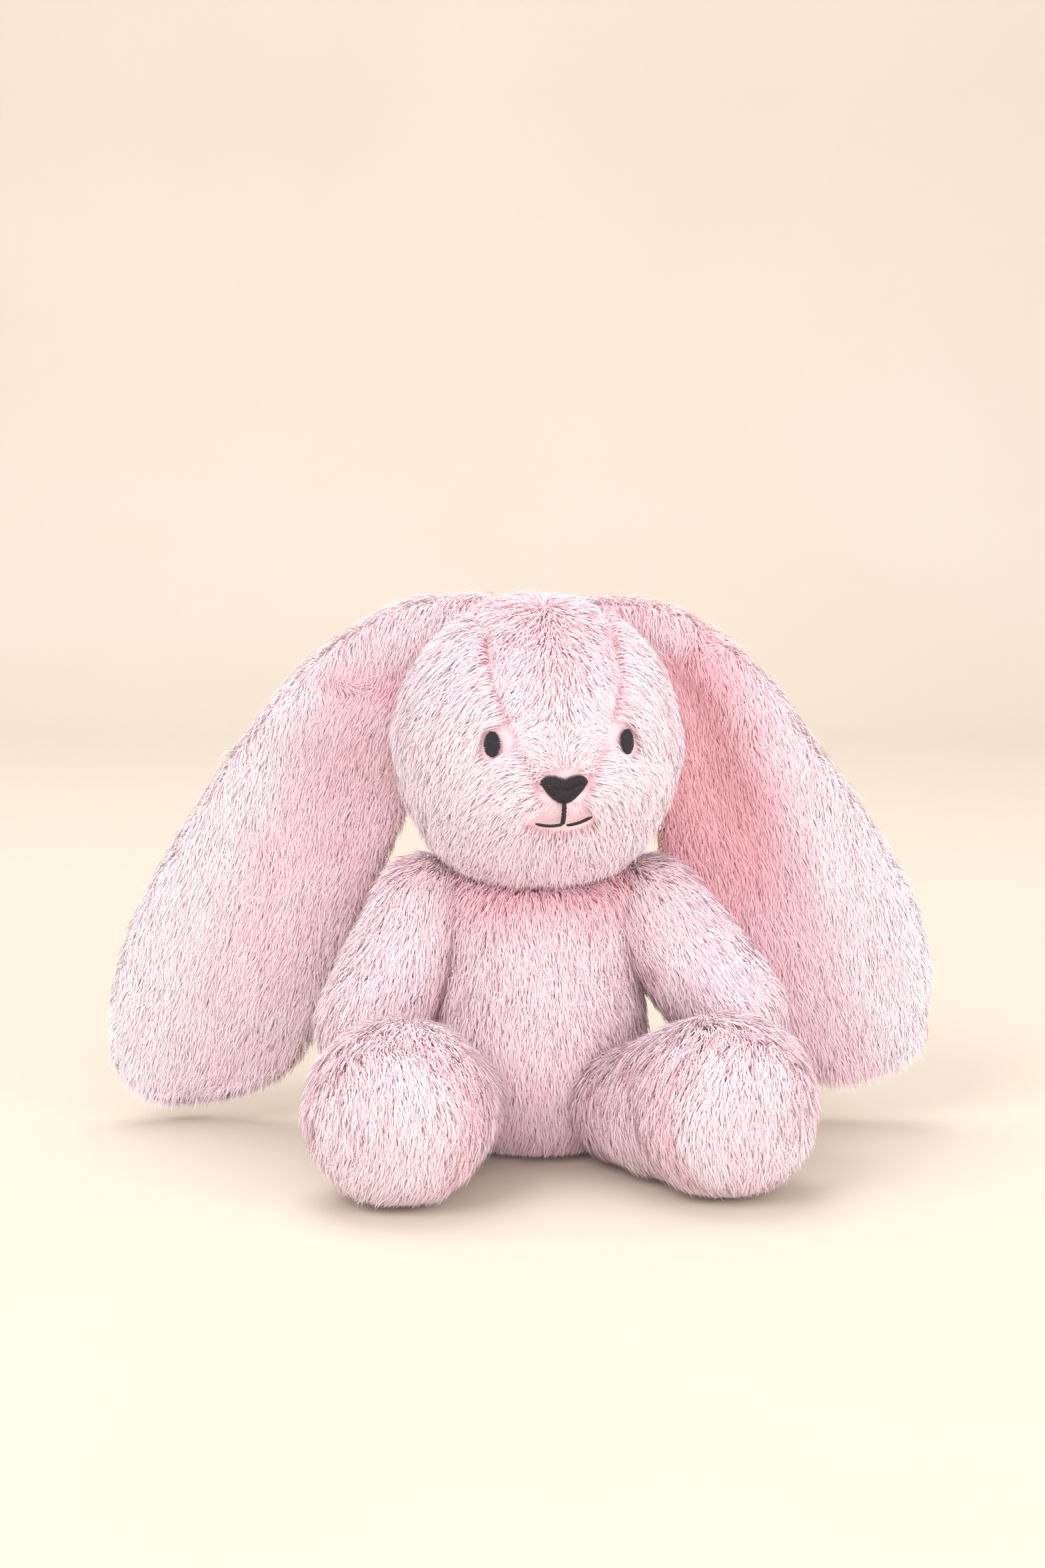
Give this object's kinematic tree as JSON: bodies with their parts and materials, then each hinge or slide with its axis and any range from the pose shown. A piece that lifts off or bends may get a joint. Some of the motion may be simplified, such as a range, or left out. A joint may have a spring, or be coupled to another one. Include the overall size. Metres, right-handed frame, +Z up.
{
  "type": "stuffed toy rabbit",
  "caption": "Sitting plush rabbit with long hanging ears that lift, a head that turns and nods, and soft arms and legs that swing on their sewn seams.",
  "frame": {"origin": "centre of the flat seat under the torso, on the surface that the rabbit sits on", "axes": "+Z up; the rabbit faces -Y, so its own left side is at +X"},
  "size_m": [0.311, 0.1861, 0.216],
  "materials": {
    "plush": "long pale pink pile, paler at the tips, over a warmer pink ground",
    "ear_lining": "the same pile in a deeper pink",
    "black_embroidery": "satin stitch in black thread",
    "pink_thread": "matt sewing thread",
    "stuffing": "white polyester fibre",
    "bean_bag_cloth": "plain woven cotton",
    "beans": "small plastic pellets",
    "label_ribbon": "blank woven satin ribbon"
  },
  "bodies": {
    "torso": {"torso_front": "plush", "torso_back_left": "plush", "torso_back_right": "plush", "torso_base": "plush", "torso_stuffing": "stuffing", "bean_bag": "bean_bag_cloth", "bean_fill": "beans", "tail_cover": "plush", "tail_stuffing": "stuffing", "back_closing_thread": "pink_thread", "care_label": "label_ribbon"},
    "neck_seam": {"neck_seam_thread": "pink_thread"},
    "head": {"head_gusset": "plush", "head_side_left": "plush", "head_side_right": "plush", "head_stuffing": "stuffing", "ear_root_left": "plush", "ear_root_right": "plush", "eye_left": "black_embroidery", "eye_right": "black_embroidery", "nose": "black_embroidery", "mouth": "black_embroidery"},
    "ear_left": {"ear_left_lining": "ear_lining", "ear_left_back": "plush"},
    "shoulder_left_seam": {"shoulder_left_thread": "pink_thread"},
    "arm_left": {"arm_left_inner": "plush", "arm_left_outer": "plush", "arm_left_stuffing": "stuffing"},
    "hip_left_seam": {"hip_left_thread": "pink_thread"},
    "leg_left": {"leg_left_inner": "plush", "leg_left_outer": "plush", "foot_left_sole": "plush", "leg_left_stuffing": "stuffing"},
    "ear_right": {"ear_right_lining": "ear_lining", "ear_right_back": "plush"},
    "shoulder_right_seam": {"shoulder_right_thread": "pink_thread"},
    "arm_right": {"arm_right_inner": "plush", "arm_right_outer": "plush", "arm_right_stuffing": "stuffing"},
    "hip_right_seam": {"hip_right_thread": "pink_thread"},
    "leg_right": {"leg_right_inner": "plush", "leg_right_outer": "plush", "foot_right_sole": "plush", "leg_right_stuffing": "stuffing"}
  },
  "joints": [
    {"name": "head_turn", "type": "hinge", "parent": "torso", "child": "neck_seam", "pos_m": [0, 0, 0.098], "axis": [0, 0, 1], "range_deg": [-6, 35]},
    {"name": "head_nod", "type": "hinge", "parent": "neck_seam", "child": "head", "pos_m": [0, 0, 0.098], "axis": [0.9863, 0.165, 0], "range_deg": [-12, 12]},
    {"name": "ear_left_lift", "type": "hinge", "parent": "head", "child": "ear_left", "pos_m": [0.05187, 0.03249, 0.20346], "axis": [0, -1, 0], "range_deg": [0, 110]},
    {"name": "arm_left_swing", "type": "hinge", "parent": "torso", "child": "shoulder_left_seam", "pos_m": [0.044, -0.003, 0.094], "axis": [-1, 0, 0], "range_deg": [-6, 80]},
    {"name": "arm_left_raise", "type": "hinge", "parent": "shoulder_left_seam", "child": "arm_left", "pos_m": [0.044, -0.003, 0.094], "axis": [0, -1, 0], "range_deg": [0, 60]},
    {"name": "leg_left_splay", "type": "hinge", "parent": "torso", "child": "hip_left_seam", "pos_m": [0.0344, -0.0387, 0.024], "axis": [0, 0, 1], "range_deg": [-30, 5]},
    {"name": "leg_left_swing", "type": "hinge", "parent": "hip_left_seam", "child": "leg_left", "pos_m": [0.0344, -0.0387, 0.024], "axis": [1, 0, 0], "range_deg": [-6, 70]},
    {"name": "ear_right_lift", "type": "hinge", "parent": "head", "child": "ear_right", "pos_m": [-0.05187, 0.03249, 0.20346], "axis": [0, 1, 0], "range_deg": [0, 110]},
    {"name": "arm_right_swing", "type": "hinge", "parent": "torso", "child": "shoulder_right_seam", "pos_m": [-0.044, -0.003, 0.094], "axis": [-1, 0, 0], "range_deg": [-6, 80]},
    {"name": "arm_right_raise", "type": "hinge", "parent": "shoulder_right_seam", "child": "arm_right", "pos_m": [-0.044, -0.003, 0.094], "axis": [0, 1, 0], "range_deg": [0, 60]},
    {"name": "leg_right_splay", "type": "hinge", "parent": "torso", "child": "hip_right_seam", "pos_m": [-0.0344, -0.0387, 0.024], "axis": [0, 0, -1], "range_deg": [-15, 15]},
    {"name": "leg_right_swing", "type": "hinge", "parent": "hip_right_seam", "child": "leg_right", "pos_m": [-0.0344, -0.0387, 0.024], "axis": [1, 0, 0], "range_deg": [-6, 70]}
  ]
}
